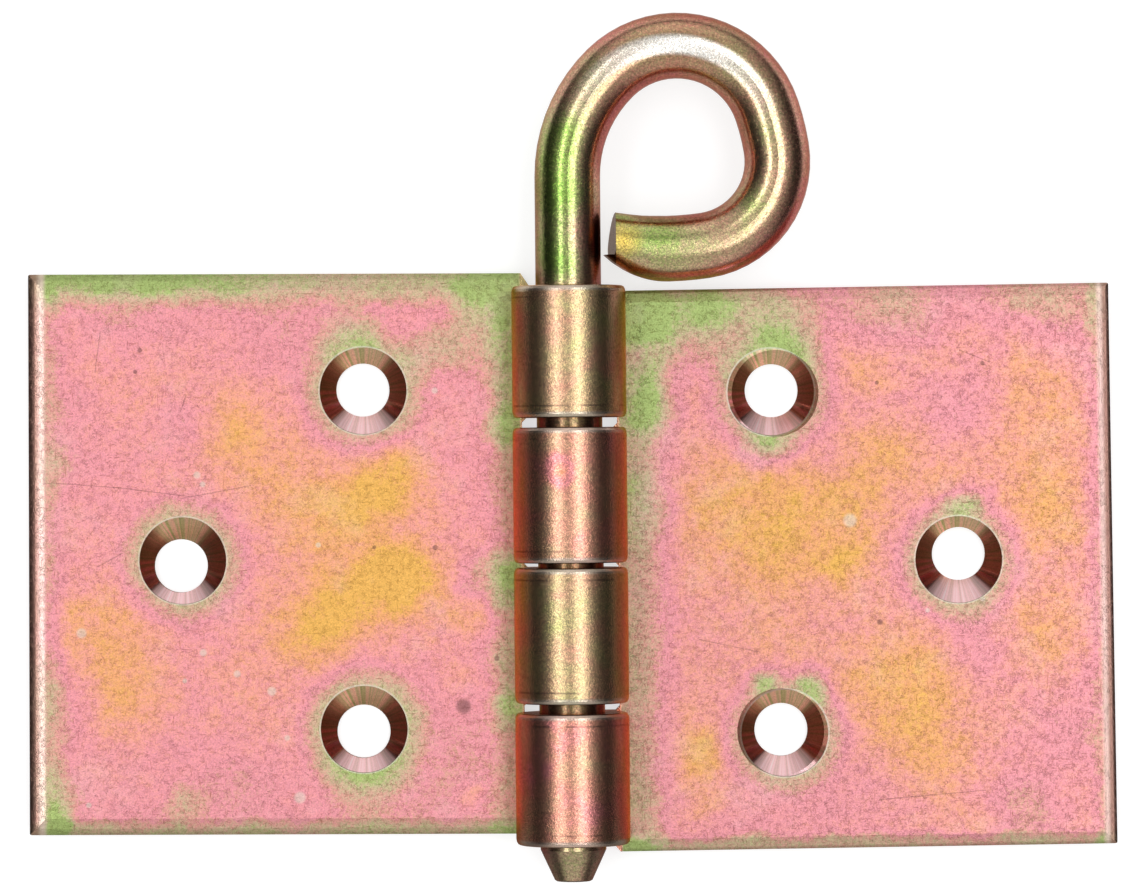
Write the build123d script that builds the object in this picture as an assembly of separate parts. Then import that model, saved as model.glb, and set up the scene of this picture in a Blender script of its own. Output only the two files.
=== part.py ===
from build123d import *
from math import asin, cos, degrees, radians, sin, sqrt, tan
import os

# Loose pin hinge, in millimetres.
# Two leaves of pressed steel sheet lie open and flat, with their backs on z = 0 and +Z up.
# Each leaf has two tabs that are rolled up and over into knuckles, and a loose pin with a
# bent eye runs through all four. The pin is parallel to Y and stands above x = 0. The origin
# is under the middle of the whole hinge, from the top of the eye to the tip of the pin.

# Leaves
sheet = 2.5               # thickness of the steel
leaf_reach = 58.0         # from the pin's axis to the free edge of a leaf
leaf_height = 60.0        # along the pin
leaf_stagger = 2.0        # the right leaf sits this much lower along the pin
left_notch = 1.5          # from the end of the left leaf to the first knuckle
right_notch = 1.15        # the same on the right leaf, whose blank ran a little off in the press
left_skew = -0.35         # degrees that the outline stands out of square with the barrel
right_skew = 0.42         # the same on the right leaf

# Knuckles and pin
pin_diameter = 7.0
pin_clearance = 0.08      # radial, between the pin and the knuckles
end_knuckle = 14.0        # length of the first and of the last knuckle
outer_gap = 1.03          # between an end knuckle and its neighbour
middle_gap = 0.53         # between the two middle knuckles
knuckle_rim_height = 0.7  # a knuckle's two ends are turned down over this length
knuckle_rim_depth = 0.4   # and by this much in radius
rim_cones = 3             # short cones that make up this round, so that it has few facets
roll_gap = 0.2            # between the end of the rolled tab and the face of its own leaf
roll_end_round = 0.3      # rounding of the end of the rolled tab
knuckle_clearance = 0.15  # radial, between a knuckle and the slot in the other leaf
root_flare = 0.45         # slanted corner beside a tab's root, smaller than any gap
notch_slant = 1.0         # how far the wall of the end notch slants

# Edges of a leaf
left_edge_width = 1.75    # the three free sides fall away at the front face over this width
left_steep_width = 0.72   # the outer part of it, which is round and steep
right_edge_width = 1.3    # the same two on the right leaf
right_steep_width = 0.36
edge_fall = 11.0          # degrees that the gentle part slopes
edge_steepest = 42.0      # slope where the steep part ends
corner_round = 0.2        # free corners of the outline

# Screw holes
screw_hole = 5.7
countersink = 9.3         # diameter at the front face
countersink_angle = 90.0
near_hole_reach = 22.15   # from the pin's axis to the two near holes
near_hole_spacing = 36.2
far_hole_reach = 41.5     # from the pin's axis to the far hole
hole_row_shift = 0.65     # the holes' middle, away from the notched end

# The holes were punched a little off their countersinks, by these steps in X and Y of the
# open hinge: near hole at the notched end, far hole, other near hole.
left_drift = [(-0.1, 0.1), (-0.3, -0.6), (-0.1, -0.3)]
right_drift = [(0.1, 0.15), (0.1, 0.6), (-0.35, 0.3)]

# Ends of the pin
tip_diameter = 3.9
tip_length = 3.35
tip_stand_out = 0.55      # the cone starts this far below the last knuckle
tip_bevel = 0.15
eye_gap = 0.35            # between the eye and the first knuckle
drag_length = 6.75        # the shear dragged the outer side of the bar in over this length
drag_depth = 2.3          # and by this much at its end
drag_steps = 3            # stretches between the sections that give this shape
lip_length = 1.15         # the dragged side stands out this far past the cut face
lip_place = 1.0           # where the lip starts, outwards from the bar's middle line
eye_end_lean = 7.0        # degrees that the lower part of the cut face leans out
eye_end_turn = 6.2        # degrees that it stands out on the dragged side

# The eye is made of bends to the right that follow each other.
eye_radii = [15.3, 10.1, 26.0, 9.0, 33.0]  # of the bar's middle line
eye_angles = [46.0, 116.0, 9.0, 91.0, 18.6]

# Sizes that follow from these
pin_radius = pin_diameter / 2
bore_radius = pin_radius + pin_clearance
barrel_radius = bore_radius + sheet
barrel_length = leaf_height + leaf_stagger - left_notch - right_notch
middle_knuckle = (barrel_length - 2 * end_knuckle - 2 * outer_gap - middle_gap) / 2
slot_edge = sqrt((barrel_radius + knuckle_clearance) ** 2 - bore_radius**2)
past = 4 * sheet          # how far a cutter runs past what it cuts


def knuckle_places():
    """(high, low) of a leaf's two knuckles, from the middle of the barrel. The other leaf is
    the same blank after half a turn, so its knuckles fall into the gaps between these."""
    first_low = barrel_length / 2 - end_knuckle
    second_low = first_low - outer_gap - middle_knuckle
    third_high = second_low - middle_gap
    return [(barrel_length / 2, first_low), (third_high, third_high - middle_knuckle)]


def slab(outline):
    """The sheet's thickness of metal over an outline given by its corners."""
    return extrude(make_face(Polyline(*outline, close=True)), sheet)


def edge_cutter(width, steep_width, length):
    """What an edge has lost where the press pulled it down. A gentle fall leaves the front
    face at x = width and z = 0, and an arc ends it at x = 0. The cutter runs along Y."""
    fall, steepest = radians(edge_fall), radians(edge_steepest)
    gentle_depth = (width - steep_width) * tan(fall)
    radius = steep_width / (sin(steepest) - sin(fall))
    middle = (radius * sin(steepest), -gentle_depth - radius * cos(fall))
    depth = -middle[1] - radius * cos(steepest)
    curve = CenterArc(middle, radius, 90 + edge_fall, edge_steepest - edge_fall)
    corners = [(0, -depth), (-past, -depth), (-past, past), (width, past), (width, 0)]
    rest = Polyline(*corners, (steep_width, -gentle_depth))
    profile = Plane.XZ * make_face(curve + rest)
    return Pos(0, length / 2, 0) * extrude(profile, length)


def screw_hole_cutter(place, drift):
    """A punched hole, and a countersink that was drilled round its own centre."""
    grow = tan(radians(countersink_angle / 2))
    point_depth = countersink / 2 / grow
    cone = Cone(0, countersink / 2 + past * grow, point_depth + past)
    cone = Pos(0, 0, sheet + (past - point_depth) / 2) * cone
    punch = Pos(drift[0], drift[1], 0) * Cylinder(screw_hole / 2, 2 * past)
    return Pos(place[0], place[1], 0) * (cone + punch)


def blank(top, skew, drifts, edge_width, steep_width):
    """The leaf from its free edge to the edge of its slots, with its holes. The outline and
    the holes are turned by the skew, and the slot edge is parallel to the pin."""
    outline = Rectangle(2 * leaf_reach, leaf_height)
    outline = fillet(outline.vertices(), corner_round)
    body = extrude(outline, sheet)
    edge = edge_cutter(edge_width, steep_width, 4 * leaf_reach)
    body -= Pos(-leaf_reach, 0, sheet) * edge
    body -= Rot(0, 0, 90) * Pos(-leaf_height / 2, 0, sheet) * edge
    body -= Rot(0, 0, -90) * Pos(-leaf_height / 2, 0, sheet) * edge
    places = [
        (-near_hole_reach, near_hole_spacing / 2 - hole_row_shift),
        (-far_hole_reach, -hole_row_shift),
        (-near_hole_reach, -near_hole_spacing / 2 - hole_row_shift),
    ]
    for place, drift in zip(places, drifts):
        body -= screw_hole_cutter(place, drift)
    body = Pos(0, top - leaf_height / 2, 0) * Rot(0, 0, skew) * body
    keep = Pos(-slot_edge - leaf_reach, 0, 0) * Box(2 * leaf_reach, 4 * leaf_height, 4 * sheet)
    return body & keep


def barrel(length):
    """The round outside of a knuckle, along Z. Its two rims are turned down in short cones."""
    upper = []
    for step in range(rim_cones + 1):
        angle = radians(90 * step / rim_cones)
        reach = barrel_radius - knuckle_rim_depth * (1 - cos(angle))
        upper.append((reach, length / 2 - knuckle_rim_height * (1 - sin(angle))))
    lower = [(reach, -height) for reach, height in reversed(upper)]
    outline = Polyline((0, -length / 2), *lower, *upper, (0, length / 2), close=True)
    return revolve(Plane.XZ * make_face(outline), Axis.Z)


def knuckle(high, low):
    """A rolled tab. It leaves the leaf along z = 0, goes round under, outside and over the
    pin, and ends just above the face of its own leaf. Its two end faces are round at the rim."""
    roll_end = 180 + degrees(asin((bore_radius - roll_gap) / barrel_radius))
    turn = roll_end + 90
    outer = CenterArc((0, barrel_radius), barrel_radius, -90, turn)
    inner = CenterArc((0, barrel_radius), bore_radius, -90, turn)
    section = make_face(outer + inner + Line(outer @ 1, inner @ 1) + Line(outer @ 0, inner @ 0))
    end_corners = section.vertices().sort_by(Axis.X)[0:2]
    section = fillet(end_corners, roll_end_round)
    roll = Pos(0, high, 0) * extrude(Plane.XZ * section, high - low)
    limits = Pos(0, (high + low) / 2, barrel_radius) * Rot(90, 0, 0) * barrel(high - low)
    root = slot_edge + sheet
    strip = slab([(-root, high), (0, high), (0, low), (-root, low)])
    return (roll & limits) + strip


def root_corners(top):
    """Slanted corners of the blank beside the tabs, and at the end notch."""
    (first_high, first_low), (third_high, third_low) = knuckle_places()
    corners = [
        slab([(-slot_edge, top), (-slot_edge + notch_slant, first_high), (-slot_edge, first_high)])
    ]
    for place, side in ((first_low, -1), (third_high, 1), (third_low, -1)):
        tip = place + side * root_flare
        corners.append(slab([(-slot_edge, tip), (-slot_edge + root_flare, place), (-slot_edge, place)]))
    return corners


def leaf(notch, skew, drifts, edge_width, steep_width):
    """The left leaf, with the middle of the barrel at y = 0."""
    top = barrel_length / 2 + notch
    body = blank(top, skew, drifts, edge_width, steep_width)
    for corner in root_corners(top):
        body += corner
    for high, low in knuckle_places():
        body += knuckle(high, low)
    return body


def turned(drifts):
    """Steps in X and Y of the open hinge, as seen on a blank that lies half a turn round."""
    return [(-x, -y) for x, y in drifts]


def eye_path(start):
    """The middle line of the eye, from the end of the straight shank to the cut end."""
    bends = []
    place = Vector(*start)
    heading = Vector(0, 1, 0)
    for radius, angle in zip(eye_radii, eye_angles):
        bend = JernArc(place, heading, radius, -angle)
        bends.append(bend)
        place = bend @ 1
        heading = bend % 1
    return bends


def round_bar(lines):
    """Bar of the pin's diameter along lines that follow each other."""
    section = Plane(origin=lines[0] @ 0, z_dir=lines[0] % 0) * Circle(pin_radius)
    return sweep(section, path=Wire(lines))


def dragged_section(sink):
    """The bar's section where its outer side, at -Y, has been dragged in. +X is up."""
    inner = CenterArc((0, 0), pin_radius, 0, 180)
    outer = EllipticalCenterArc((0, 0), pin_radius, pin_radius - sink, start_angle=180, arc_size=180)
    return make_face(inner + outer)


def sheared_end(bend):
    """The last bend of the eye with its cut end. The shear cut along the shank and dragged
    the outer side of the bar in. Its face leans out below, and has a lip on that side."""
    start = 1 - drag_length / bend.length
    sections = []
    for step in range(drag_steps + 1):
        share = step / drag_steps
        at = start + (1 - start) * share
        across = Plane(origin=bend @ at, x_dir=(0, 0, 1), z_dir=bend % at)
        sections.append(across * dragged_section(drag_depth * share**2))
    cut = 1 - lip_length / bend.length
    end = Plane(origin=bend @ cut, x_dir=(-1, 0, 0), z_dir=(0, 0, 1))
    room = Box(2 * past, 2 * past, 2 * past)
    upright = Pos(-past, 0, 0) * room
    leaning = Pos(0, -pin_radius, 0) * Rot(0, -eye_end_lean, -eye_end_turn) * upright
    lip = Pos(0, lip_place + past, 0) * room
    plain = round_bar([bend.trim(0, start)])
    return plain + (loft(sections) & end * (upright + leaning + lip))


def pin():
    """The shank, the cone at its lower end and the eye at its upper end, as one bar."""
    trial = Curve() + eye_path((0, 0, 0))
    eye_drop = -trial.bounding_box().min.Y
    bend_start = barrel_length / 2 + eye_gap + pin_radius + eye_drop
    cone_start = -barrel_length / 2 - tip_stand_out
    straight = Line((0, cone_start, 0), (0, bend_start, 0))
    *bends, last_bend = eye_path((0, bend_start, 0))
    bar = round_bar([straight, *bends]) + sheared_end(last_bend)
    cone = Cone(tip_diameter / 2, pin_radius, tip_length)
    cone = chamfer(cone.edges().filter_by(GeomType.CIRCLE).sort_by(Axis.Z)[0], tip_bevel)
    cone = Pos(0, cone_start - tip_length / 2, 0) * Rot(-90, 0, 0) * cone
    return Pos(0, 0, barrel_radius) * (bar + cone)


def hinge():
    """All three pieces by name, with the origin under the middle of the whole hinge."""
    left_edges = (left_edge_width, left_steep_width)
    right_edges = (right_edge_width, right_steep_width)
    pieces = {
        "left_leaf": leaf(left_notch, left_skew, left_drift, *left_edges),
        "right_leaf": leaf(right_notch, right_skew, turned(right_drift), *right_edges),
        "loose_pin": pin(),
    }
    pieces["right_leaf"] = Rot(0, 0, 180) * pieces["right_leaf"]
    reach = pieces["loose_pin"].bounding_box()
    barrel_place = -(reach.min.Y + reach.max.Y) / 2
    print("middle of the barrel at y =", round(barrel_place, 4))
    return {name: Pos(0, barrel_place, 0) * piece for name, piece in pieces.items()}


os.makedirs("parts", exist_ok=True)
for name, piece in hinge().items():
    print(name, "volume", round(piece.volume, 1), "solids", len(piece.solids()))
    export_step(piece, f"parts/{name}.step")
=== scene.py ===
# %% [markdown]
# # A loose pin hinge in yellow passivated zinc
#
# The hinge lies open and flat, seen from straight above. Its three pieces come ready made: two
# leaves of pressed sheet, whose tabs are rolled into knuckles, and a pin that is bent into an
# eye. What is left to do here is the finish, the light and the camera.
#
# The finish is the lesson. Zinc plate is grey, and the bath that protects it leaves a clear
# film less than a thousandth of a millimetre thick. Light that is mirrored by the top and by
# the bottom of the film adds up to a colour, and the colour says how thick the film is: green,
# then sand, pink, orange and yellow. So every colour on this hinge comes from one number, the
# film, which is painted as clouds that follow the edges, the holes and the barrel.

# %% Load the pieces and note their size
import math
from types import SimpleNamespace

import bpy
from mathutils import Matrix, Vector

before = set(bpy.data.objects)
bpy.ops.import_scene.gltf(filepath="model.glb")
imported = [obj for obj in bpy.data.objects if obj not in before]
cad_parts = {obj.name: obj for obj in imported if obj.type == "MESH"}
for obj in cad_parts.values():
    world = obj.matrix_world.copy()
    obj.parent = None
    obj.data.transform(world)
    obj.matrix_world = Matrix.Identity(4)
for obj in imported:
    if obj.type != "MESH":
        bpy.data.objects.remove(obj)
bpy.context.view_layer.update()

MM = 0.001  # the scene is in metres and the hinge is measured in millimetres

# %% [markdown]
# ## Camera
#
# The picture looks straight down from 600 mm. The lens stands almost over the middle of the
# hinge, and the hinge lies half a degree askew below it. A long lens keeps the barrel's sides
# from showing too much. A camera looks along its own -Z, so an unturned one already looks down,
# and only the small turn about Z is set.

# %% Camera
CAMERA_PLACE = Vector((-0.24, 0.19, 600.0)) * MM
CAMERA_TURN = math.radians(-0.54)
SENSOR = 36.0  # mm wide
LENS = 177.2

camera_data = bpy.data.cameras.new("camera")
camera_data.lens = LENS
camera_data.sensor_width = SENSOR
camera_data.clip_start = 0.01
camera_data.clip_end = 20.0
camera = bpy.data.objects.new("camera", camera_data)
camera.location = CAMERA_PLACE
camera.rotation_euler = (0, 0, CAMERA_TURN)
bpy.context.scene.collection.objects.link(camera)
bpy.context.scene.camera = camera
bpy.context.scene.view_settings.view_transform = "Standard"
print("the camera looks down from", round(camera.location.z / MM), "mm")

# %% [markdown]
# ## A helper for node graphs
#
# A material is a graph of small nodes. Written out one by one the graph hides what it is for,
# so a `Graph` adds a node, feeds its sockets with a number or with another node's output, and
# hands back the result. It starts with plain sums. Colours are given as they look on screen and
# turned into the light values that Blender works with.

# %% Colours


def paint(red, green, blue):
    """A colour given as it looks on screen, 0 to 255, as the light values that Blender wants."""
    def light(level):
        level /= 255
        return level / 12.92 if level <= 0.04045 else ((level + 0.055) / 1.055) ** 2.4
    return (light(red), light(green), light(blue), 1.0)


print("middle grey on screen is", round(paint(128, 128, 128)[0], 3), "as light")

# %% Graph, the helper for sums


class Graph:
    """A node graph that grows by one node at a time."""

    def __init__(self, tree):
        self.tree = tree
        self.tree.nodes.clear()

    def add(self, kind, **settings):
        """A new node of a kind."""
        made = self.tree.nodes.new(kind)
        for name, value in settings.items():
            setattr(made, name, value)
        return made

    def feed(self, socket, value):
        """Gives a socket a number or a colour, or links it to another node's output."""
        if isinstance(value, bpy.types.NodeSocket):
            self.tree.links.new(value, socket)
        else:
            socket.default_value = value

    def math(self, operation, first, second=0.0, third=0.0):
        """One sum on numbers."""
        made = self.add("ShaderNodeMath", operation=operation)
        for socket, value in zip(made.inputs, (first, second, third)):
            self.feed(socket, value)
        return made.outputs[0]

    def total(self, *parts):
        """All the parts added up."""
        result = parts[0]
        for part in parts[1:]:
            result = self.math("ADD", result, part)
        return result

    def times(self, first, second):
        """Two numbers multiplied, or the share that two masks have in common."""
        return self.math("MULTIPLY", first, second)

    def vector(self, operation, first, second=None, scale=None):
        """One sum on places or directions."""
        made = self.add("ShaderNodeVectorMath", operation=operation)
        self.feed(made.inputs[0], first)
        if second is not None:
            self.feed(made.inputs[1], second)
        if scale is not None:
            self.feed(made.inputs["Scale"], scale)
        numbers = ("DISTANCE", "LENGTH", "DOT_PRODUCT")
        return made.outputs["Value" if operation in numbers else "Vector"]


print("a graph knows", sorted(name for name in vars(Graph) if name[0] != "_"))

# %% [markdown]
# A finish also needs masks with soft borders, clouds and colours. A `Recipe` is a graph that
# knows those too. Lengths in the recipes of the hinge's own finishes are millimetres.

# %% Recipe, the helper for finishes


class Recipe(Graph):
    """A graph that also makes soft masks, clouds and colours."""

    def fade(self, value, start, end, first=0.0, last=1.0):
        """Goes smoothly from first to last while value goes from start to end."""
        made = self.add("ShaderNodeMapRange", interpolation_type="SMOOTHSTEP")
        self.feed(made.inputs["Value"], value)
        if start > end:
            start, end, first, last = end, start, last, first
        limits = (("From Min", start), ("From Max", end), ("To Min", first), ("To Max", last))
        for name, number in limits:
            self.feed(made.inputs[name], number)
        return made.outputs["Result"]

    def noise(self, place, size, detail=2.0, rough=0.5, swirl=0.0, output="Fac"):
        """Clouds whose lumps are about one size across, from 0 to 1. detail is how many finer
        layers they have, and rough is how strong those are."""
        made = self.add("ShaderNodeTexNoise")
        self.feed(made.inputs["Vector"], place)
        self.feed(made.inputs["Scale"], 1.0 / size)
        self.feed(made.inputs["Detail"], detail)
        self.feed(made.inputs["Roughness"], rough)
        self.feed(made.inputs["Distortion"], swirl)
        return made.outputs[output]

    def around(self, value, amount):
        """Turns a 0 to 1 pattern into one that swings by amount to both sides of 0."""
        return self.math("MULTIPLY_ADD", value, 2 * amount, -amount)

    def ramp(self, value, stops):
        """The colour that the stops give to a value."""
        made = self.add("ShaderNodeValToRGB")
        self.feed(made.inputs["Fac"], value)
        points = made.color_ramp.elements
        while len(points) < len(stops):
            points.new(0.5)
        for point, (position, colour) in zip(points, stops):
            point.position = position
            point.color = colour
        return made.outputs["Color"]

    def blend(self, share, first, second, way="MIX"):
        """The first colour with a share of the second, mixed in or multiplied."""
        made = self.add("ShaderNodeMix", data_type="RGBA", blend_type=way)
        for index, value in ((0, share), (6, first), (7, second)):
            self.feed(made.inputs[index], value)
        return made.outputs[2]


def recipe_for(name):
    """A new material and the recipe that fills it."""
    material = bpy.data.materials.new(name)
    material.use_nodes = True
    return material, Recipe(material.node_tree)


print("a recipe also knows", sorted(name for name in vars(Recipe) if name[0] != "_"))

# %% [markdown]
# ## Table
#
# The hinge lies on a white table, which is a plain square far wider than the picture. It lies
# a hair below the leaves, because two faces at one height would flicker.

# %% Table
TABLE_SIZE = 6.0
TABLE_DROP = 0.05 * MM

bpy.ops.mesh.primitive_plane_add(size=TABLE_SIZE, location=(0, 0, -TABLE_DROP))
table = bpy.context.object
table.name = "table"
print("the table is", TABLE_SIZE, "m wide")

# %% [markdown]
# Bright metal shows what it mirrors, so the table has to be white for the camera and lit for
# mirrored rays too. It is part glow and part white paint: the glow makes it white, and the
# paint takes the soft shadow that seats the hinge on it. For mirrored rays a painted pool of
# light is laid on it, bright round the eye and darker further out. It stands in for the cards
# that would keep the lamps off the rest of the table.

# %% The table's white
TABLE_GLOW = 0.68
TABLE_PAINT = 0.42
LIT_MIDDLE = Vector((12.0, 40.0, 0.0)) * MM  # the lit part of the table lies round the eye
LIT_REACH = 25.0 * MM
DARK_REACH = 110.0 * MM
DARK_LEVEL = 0.16
MIRRORED_SHARE = 0.5  # of the table's glow, for mirrored rays

table_white, recipe = recipe_for("table_white")
place = recipe.add("ShaderNodeTexCoord").outputs["Object"]
away = recipe.vector("DISTANCE", place, tuple(LIT_MIDDLE))
# painted pool of light for mirrored rays: bright round the eye, darker further out
lit = recipe.fade(away, LIT_REACH, DARK_REACH, 1.0, DARK_LEVEL)
rays = recipe.add("ShaderNodeLightPath").outputs
mirrored = recipe.math("MAXIMUM", rays["Is Glossy Ray"], rays["Is Transmission Ray"])

unlit = recipe.times(mirrored, recipe.math("SUBTRACT", 1.0, lit))
paint_level = recipe.times(recipe.math("SUBTRACT", 1.0, unlit), TABLE_PAINT)
paint_shade = recipe.add("ShaderNodeCombineColor")
for name in ("Red", "Green", "Blue"):
    recipe.feed(paint_shade.inputs[name], paint_level)
table_paint = recipe.add("ShaderNodeBsdfDiffuse")
recipe.feed(table_paint.inputs["Color"], paint_shade.outputs[0])

mirror_glow = recipe.times(recipe.times(mirrored, lit), MIRRORED_SHARE)
seen = recipe.math("MAXIMUM", rays["Is Camera Ray"], mirror_glow)
glow = recipe.add("ShaderNodeEmission")
recipe.feed(glow.inputs["Strength"], recipe.times(seen, TABLE_GLOW))

both = recipe.add("ShaderNodeAddShader")
recipe.feed(both.inputs[0], table_paint.outputs[0])
recipe.feed(both.inputs[1], glow.outputs[0])
recipe.feed(recipe.add("ShaderNodeOutputMaterial").inputs["Surface"], both.outputs[0])
table.data.materials.append(table_white)
print("the table glows at", TABLE_GLOW, "and its paint adds", TABLE_PAINT, "of the light on it")

# %% [markdown]
# ## Studio
#
# Bright metal is lit by what stands round it. Two long soft boxes hang over the hinge, one on
# each side of the lens, and draw the two pale stripes along the barrel and the pin. A lamp's
# power grows with its area here, so a box can be made wider without getting brighter.

# %% Soft boxes
BOX_HEIGHT = 0.9
BOX_LENGTH = 0.84
BOX_PLACE = 0.05  # in Y, so the boxes reach a little further beyond the eye
BOX_LEVEL = 3.0
BOXES = {"soft_box_left": (-25.0, 0.19), "soft_box_right": (18.5, 0.24)}  # (lean, breadth)


def soft_box(name, lean, breadth):
    """A long lamp along Y. lean is its angle from straight up, seen from the hinge."""
    data = bpy.data.lights.new(name, "AREA")
    data.shape = "RECTANGLE"
    data.size = breadth
    data.size_y = BOX_LENGTH
    data.energy = BOX_LEVEL * math.pi * breadth * BOX_LENGTH
    lamp = bpy.data.objects.new(name, data)
    tilt = math.radians(lean)
    lamp.location = (BOX_HEIGHT * math.sin(tilt), BOX_PLACE, BOX_HEIGHT * math.cos(tilt))
    lamp.rotation_euler = (0, tilt, 0)
    lamp.visible_camera = False
    bpy.context.scene.collection.objects.link(lamp)


for name, (lean, breadth) in BOXES.items():
    soft_box(name, lean, breadth)
print(len(BOXES), "soft boxes hang", BOX_HEIGHT, "m from the hinge")

# %% [markdown]
# The room behind the boxes is of middle brightness, and black cards stand on the left and on
# the right. So the room darkens with the X part of a direction, and that draws the brown bands
# beside the stripes on everything that runs along Y. Pale cards at both ends of the pin light
# the walls of the screw holes. The camera itself sees plain white, and soft, unmirrored light
# comes evenly from all sides.

# %% Room and cards
ROOM_LEVEL = 0.60
ROOM_TINT = (1.0, 0.975, 0.94, 1.0)
CARD_LEVEL = 0.035
CARD_START, CARD_END = 0.42, 0.92  # X part of a direction where the cards start, and are full
HORIZON_SHARE = 0.55  # how bright the room still is at the height of the table
HORIZON_TOP = 0.3  # Z part of a direction where the room has its full brightness
PALE_CARDS = [((0.0, 0.95, 0.31), 0.35), ((0.0, -0.95, 0.31), 0.1)]  # (direction, level)
PALE_START, PALE_END = 0.88, 0.97  # how nearly a direction points at the card
FILL = (0.85, 0.85, 0.85, 1.0)
WHITE = (1.0, 1.0, 1.0, 1.0)

world = bpy.data.worlds.new("studio")
world.use_nodes = True
bpy.context.scene.world = world
recipe = Recipe(world.node_tree)
direction = recipe.add("ShaderNodeTexCoord").outputs["Generated"]
split = recipe.add("ShaderNodeSeparateXYZ")
recipe.feed(split.inputs[0], direction)
sideways = recipe.math("ABSOLUTE", split.outputs["X"])
level = recipe.fade(sideways, CARD_START, CARD_END, ROOM_LEVEL, CARD_LEVEL)
above = recipe.fade(split.outputs["Z"], 0.0, HORIZON_TOP, HORIZON_SHARE, 1.0)
level = recipe.times(level, above)
for toward, brightness in PALE_CARDS:
    nearness = recipe.vector("DOT_PRODUCT", direction, toward)
    card = recipe.fade(nearness, PALE_START, PALE_END, 0.0, brightness)
    level = recipe.math("ADD", level, card)
room = recipe.blend(1.0, level, ROOM_TINT, "MULTIPLY")
rays = recipe.add("ShaderNodeLightPath").outputs
lit = recipe.blend(rays["Is Glossy Ray"], FILL, room)
shown = recipe.blend(rays["Is Camera Ray"], lit, WHITE)
background = recipe.add("ShaderNodeBackground")
recipe.feed(background.inputs["Color"], shown)
recipe.feed(recipe.add("ShaderNodeOutputWorld").inputs["Surface"], background.outputs[0])
print("the room is", ROOM_LEVEL, "bright and its cards", CARD_LEVEL)

# %% [markdown]
# ## Film colours
#
# One ramp turns the film's number into a colour. 0 is the thin film that drains off edges and
# creeps out of corners, and 1 is the thick film that stands in the middle of a leaf. A shader
# that works the colours out of the film's real thickness would be truer, but a ramp's colours
# can be given one by one, and it stays the same in any program that the hinge is taken to.

# %% Film colours
FILM = [
    (0.00, paint(156, 200, 98)),
    (0.12, paint(185, 204, 130)),
    (0.24, paint(212, 200, 156)),
    (0.34, paint(222, 186, 158)),
    (0.44, paint(236, 173, 158)),
    (0.54, paint(246, 164, 174)),
    (0.62, paint(250, 168, 170)),
    (0.70, paint(252, 175, 156)),
    (0.80, paint(250, 182, 126)),
    (0.90, paint(246, 192, 102)),
    (1.00, paint(226, 198, 90)),
]
print("the film runs through", len(FILM), "colours")

# %% [markdown]
# ## Where a point lies
#
# Each finish starts from the place of a point in millimetres. Clouds and strokes are laid out
# on the flat, in X and Y, and a place that is pushed about a little first gives them the ragged
# borders that a liquid leaves.

# %% Places and distances
CLOUD_REACH = 1.2  # a cloud is gone at this many times its reach


def millimetres(recipe):
    """The place on the piece in millimetres, and its X, Y and Z."""
    place = recipe.add("ShaderNodeTexCoord").outputs["Object"]
    place = recipe.vector("SCALE", place, scale=1.0 / MM)
    split = recipe.add("ShaderNodeSeparateXYZ")
    recipe.feed(split.inputs[0], place)
    return place, split.outputs["X"], split.outputs["Y"], split.outputs["Z"]


def joined(recipe, x, y, z):
    """One place out of three numbers."""
    made = recipe.add("ShaderNodeCombineXYZ")
    for socket, value in zip(made.inputs, (x, y, z)):
        recipe.feed(socket, value)
    return made.outputs[0]


def flattened(recipe, place):
    """A place without its height."""
    return recipe.vector("MULTIPLY", place, (1.0, 1.0, 0.0))


def wandering(recipe, place, size, amount):
    """The place, pushed about by clouds of a size, so that what follows gets ragged borders."""
    push = recipe.noise(place, size, 3.0, 0.6, output="Color")
    push = recipe.vector("SUBTRACT", push, (0.5, 0.5, 0.5))
    push = recipe.vector("MULTIPLY", push, (amount, amount, amount))
    return recipe.vector("ADD", place, push)


def cloud(recipe, spot, centre, reach, amount):
    """amount at the centre, fading to 0 a little beyond the reach."""
    away = recipe.vector("DISTANCE", spot, (*centre, 0.0))
    return recipe.fade(away, CLOUD_REACH * reach, 0.0, 0.0, amount)


def from_line(recipe, spot, start, end):
    """The distance of a spot from a straight stroke."""
    start, end = Vector((*start, 0.0)), Vector((*end, 0.0))
    stroke = end - start
    offset = recipe.vector("SUBTRACT", spot, tuple(start))
    share = recipe.vector("DOT_PRODUCT", offset, tuple(stroke / stroke.length_squared))
    share = recipe.math("MINIMUM", recipe.math("MAXIMUM", share, 0.0), 1.0)
    nearest = recipe.vector("SCALE", tuple(stroke), scale=share)
    return recipe.vector("DISTANCE", offset, nearest)


print("a cloud is gone at", CLOUD_REACH, "times its reach")
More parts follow.
